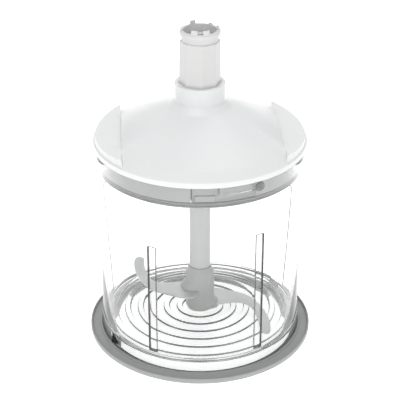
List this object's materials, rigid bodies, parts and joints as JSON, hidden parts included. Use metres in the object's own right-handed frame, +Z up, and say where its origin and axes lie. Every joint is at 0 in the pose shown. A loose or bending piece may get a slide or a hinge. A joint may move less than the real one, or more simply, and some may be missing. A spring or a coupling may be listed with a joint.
{
  "type": "food processor bowl attachment",
  "caption": "Clear chopping bowl in a non-slip base ring, with a removable sickle knife and a white gear lid whose coupling tube takes a hand-held motor unit.",
  "frame": {"origin": "middle of the base ring's underside, on the surface it stands on", "axes": "+Z up along the knife's spindle, -Y the front, +X to the right"},
  "size_m": [0.1424, 0.1424, 0.2042],
  "materials": {
    "soft_grey": "matt non-slip elastomer",
    "clear": "clear polished plastic",
    "white": "gloss white plastic",
    "grey": "satin light grey plastic",
    "hub_plastic": "satin plastic",
    "acetal": "natural acetal",
    "steel": "satin stainless steel",
    "bronze": "sintered bronze"
  },
  "bodies": {
    "base": {"base_ring": "soft_grey"},
    "bowl": {"bowl": "clear", "spindle_pin": "steel"},
    "washer": {"thrust_washer": "acetal"},
    "knife": {"knife_hub": "hub_plastic", "knife_shaft": "hub_plastic", "upper_knife": "steel", "lower_knife": "steel"},
    "seal": {"lid_seal": "soft_grey"},
    "lid": {"lid_shell": "white", "lower_cover": "grey", "shaft_seal": "soft_grey", "output_bush": "bronze", "coupling_tube": "white", "upper_bush": "bronze", "lower_bush": "bronze", "ring_gear": "acetal", "cover_screw_1": "steel", "cover_screw_2": "steel", "cover_screw_3": "steel"},
    "drive": {"drive_socket": "grey", "input_shaft": "steel", "sun_gear": "steel"},
    "carrier": {"planet_carrier": "acetal", "carrier_cap": "acetal", "planet_pin_1": "steel", "planet_pin_2": "steel", "planet_pin_3": "steel"},
    "planet_1": {"planet_gear_1": "acetal"},
    "planet_2": {"planet_gear_2": "acetal"},
    "planet_3": {"planet_gear_3": "acetal"}
  },
  "joints": [
    {"name": "bowl_lift", "type": "slide", "parent": "base", "child": "bowl", "axis": [0, 0, 1], "range_m": [0, 0.04]},
    {"name": "knife_lift", "type": "slide", "parent": "bowl", "child": "washer", "axis": [0, 0, 1], "range_m": [0, 0.13]},
    {"name": "knife_spin", "type": "hinge", "parent": "washer", "child": "knife", "pos_m": [0, 0, 0.03], "axis": [0, 0, 1], "continuous": true},
    {"name": "lid_lift", "type": "slide", "parent": "bowl", "child": "seal", "axis": [0, 0, 1], "range_m": [0, 0.26]},
    {"name": "lid_turn", "type": "hinge", "parent": "seal", "child": "lid", "pos_m": [0, 0, 0.13], "axis": [0, 0, 1], "range_deg": [0, 22]},
    {"name": "carrier_spin", "type": "hinge", "parent": "lid", "child": "carrier", "pos_m": [0, 0, 0.132], "axis": [0, 0, 1], "continuous": true},
    {"name": "drive_spin", "type": "hinge", "parent": "lid", "child": "drive", "pos_m": [0, 0, 0.16], "axis": [0, 0, 1], "continuous": true},
    {"name": "planet_spin_1", "type": "hinge", "parent": "carrier", "child": "planet_1", "pos_m": [0.015, 0, 0.138], "axis": [0, 0, 1], "continuous": true},
    {"name": "planet_spin_2", "type": "hinge", "parent": "carrier", "child": "planet_2", "pos_m": [-0.0075, 0.01299, 0.138], "axis": [0, 0, 1], "continuous": true},
    {"name": "planet_spin_3", "type": "hinge", "parent": "carrier", "child": "planet_3", "pos_m": [-0.0075, -0.01299, 0.138], "axis": [0, 0, 1], "continuous": true}
  ],
  "couplings": [
    {"joint": "knife_lift", "follows": "lid_lift", "ratio": 0.5},
    {"joint": "carrier_spin", "follows": "knife_spin", "ratio": 1},
    {"joint": "drive_spin", "follows": "knife_spin", "ratio": 5},
    {"joint": "planet_spin_1", "follows": "knife_spin", "ratio": -2.6667},
    {"joint": "planet_spin_2", "follows": "knife_spin", "ratio": -2.6667},
    {"joint": "planet_spin_3", "follows": "knife_spin", "ratio": -2.6667}
  ]
}
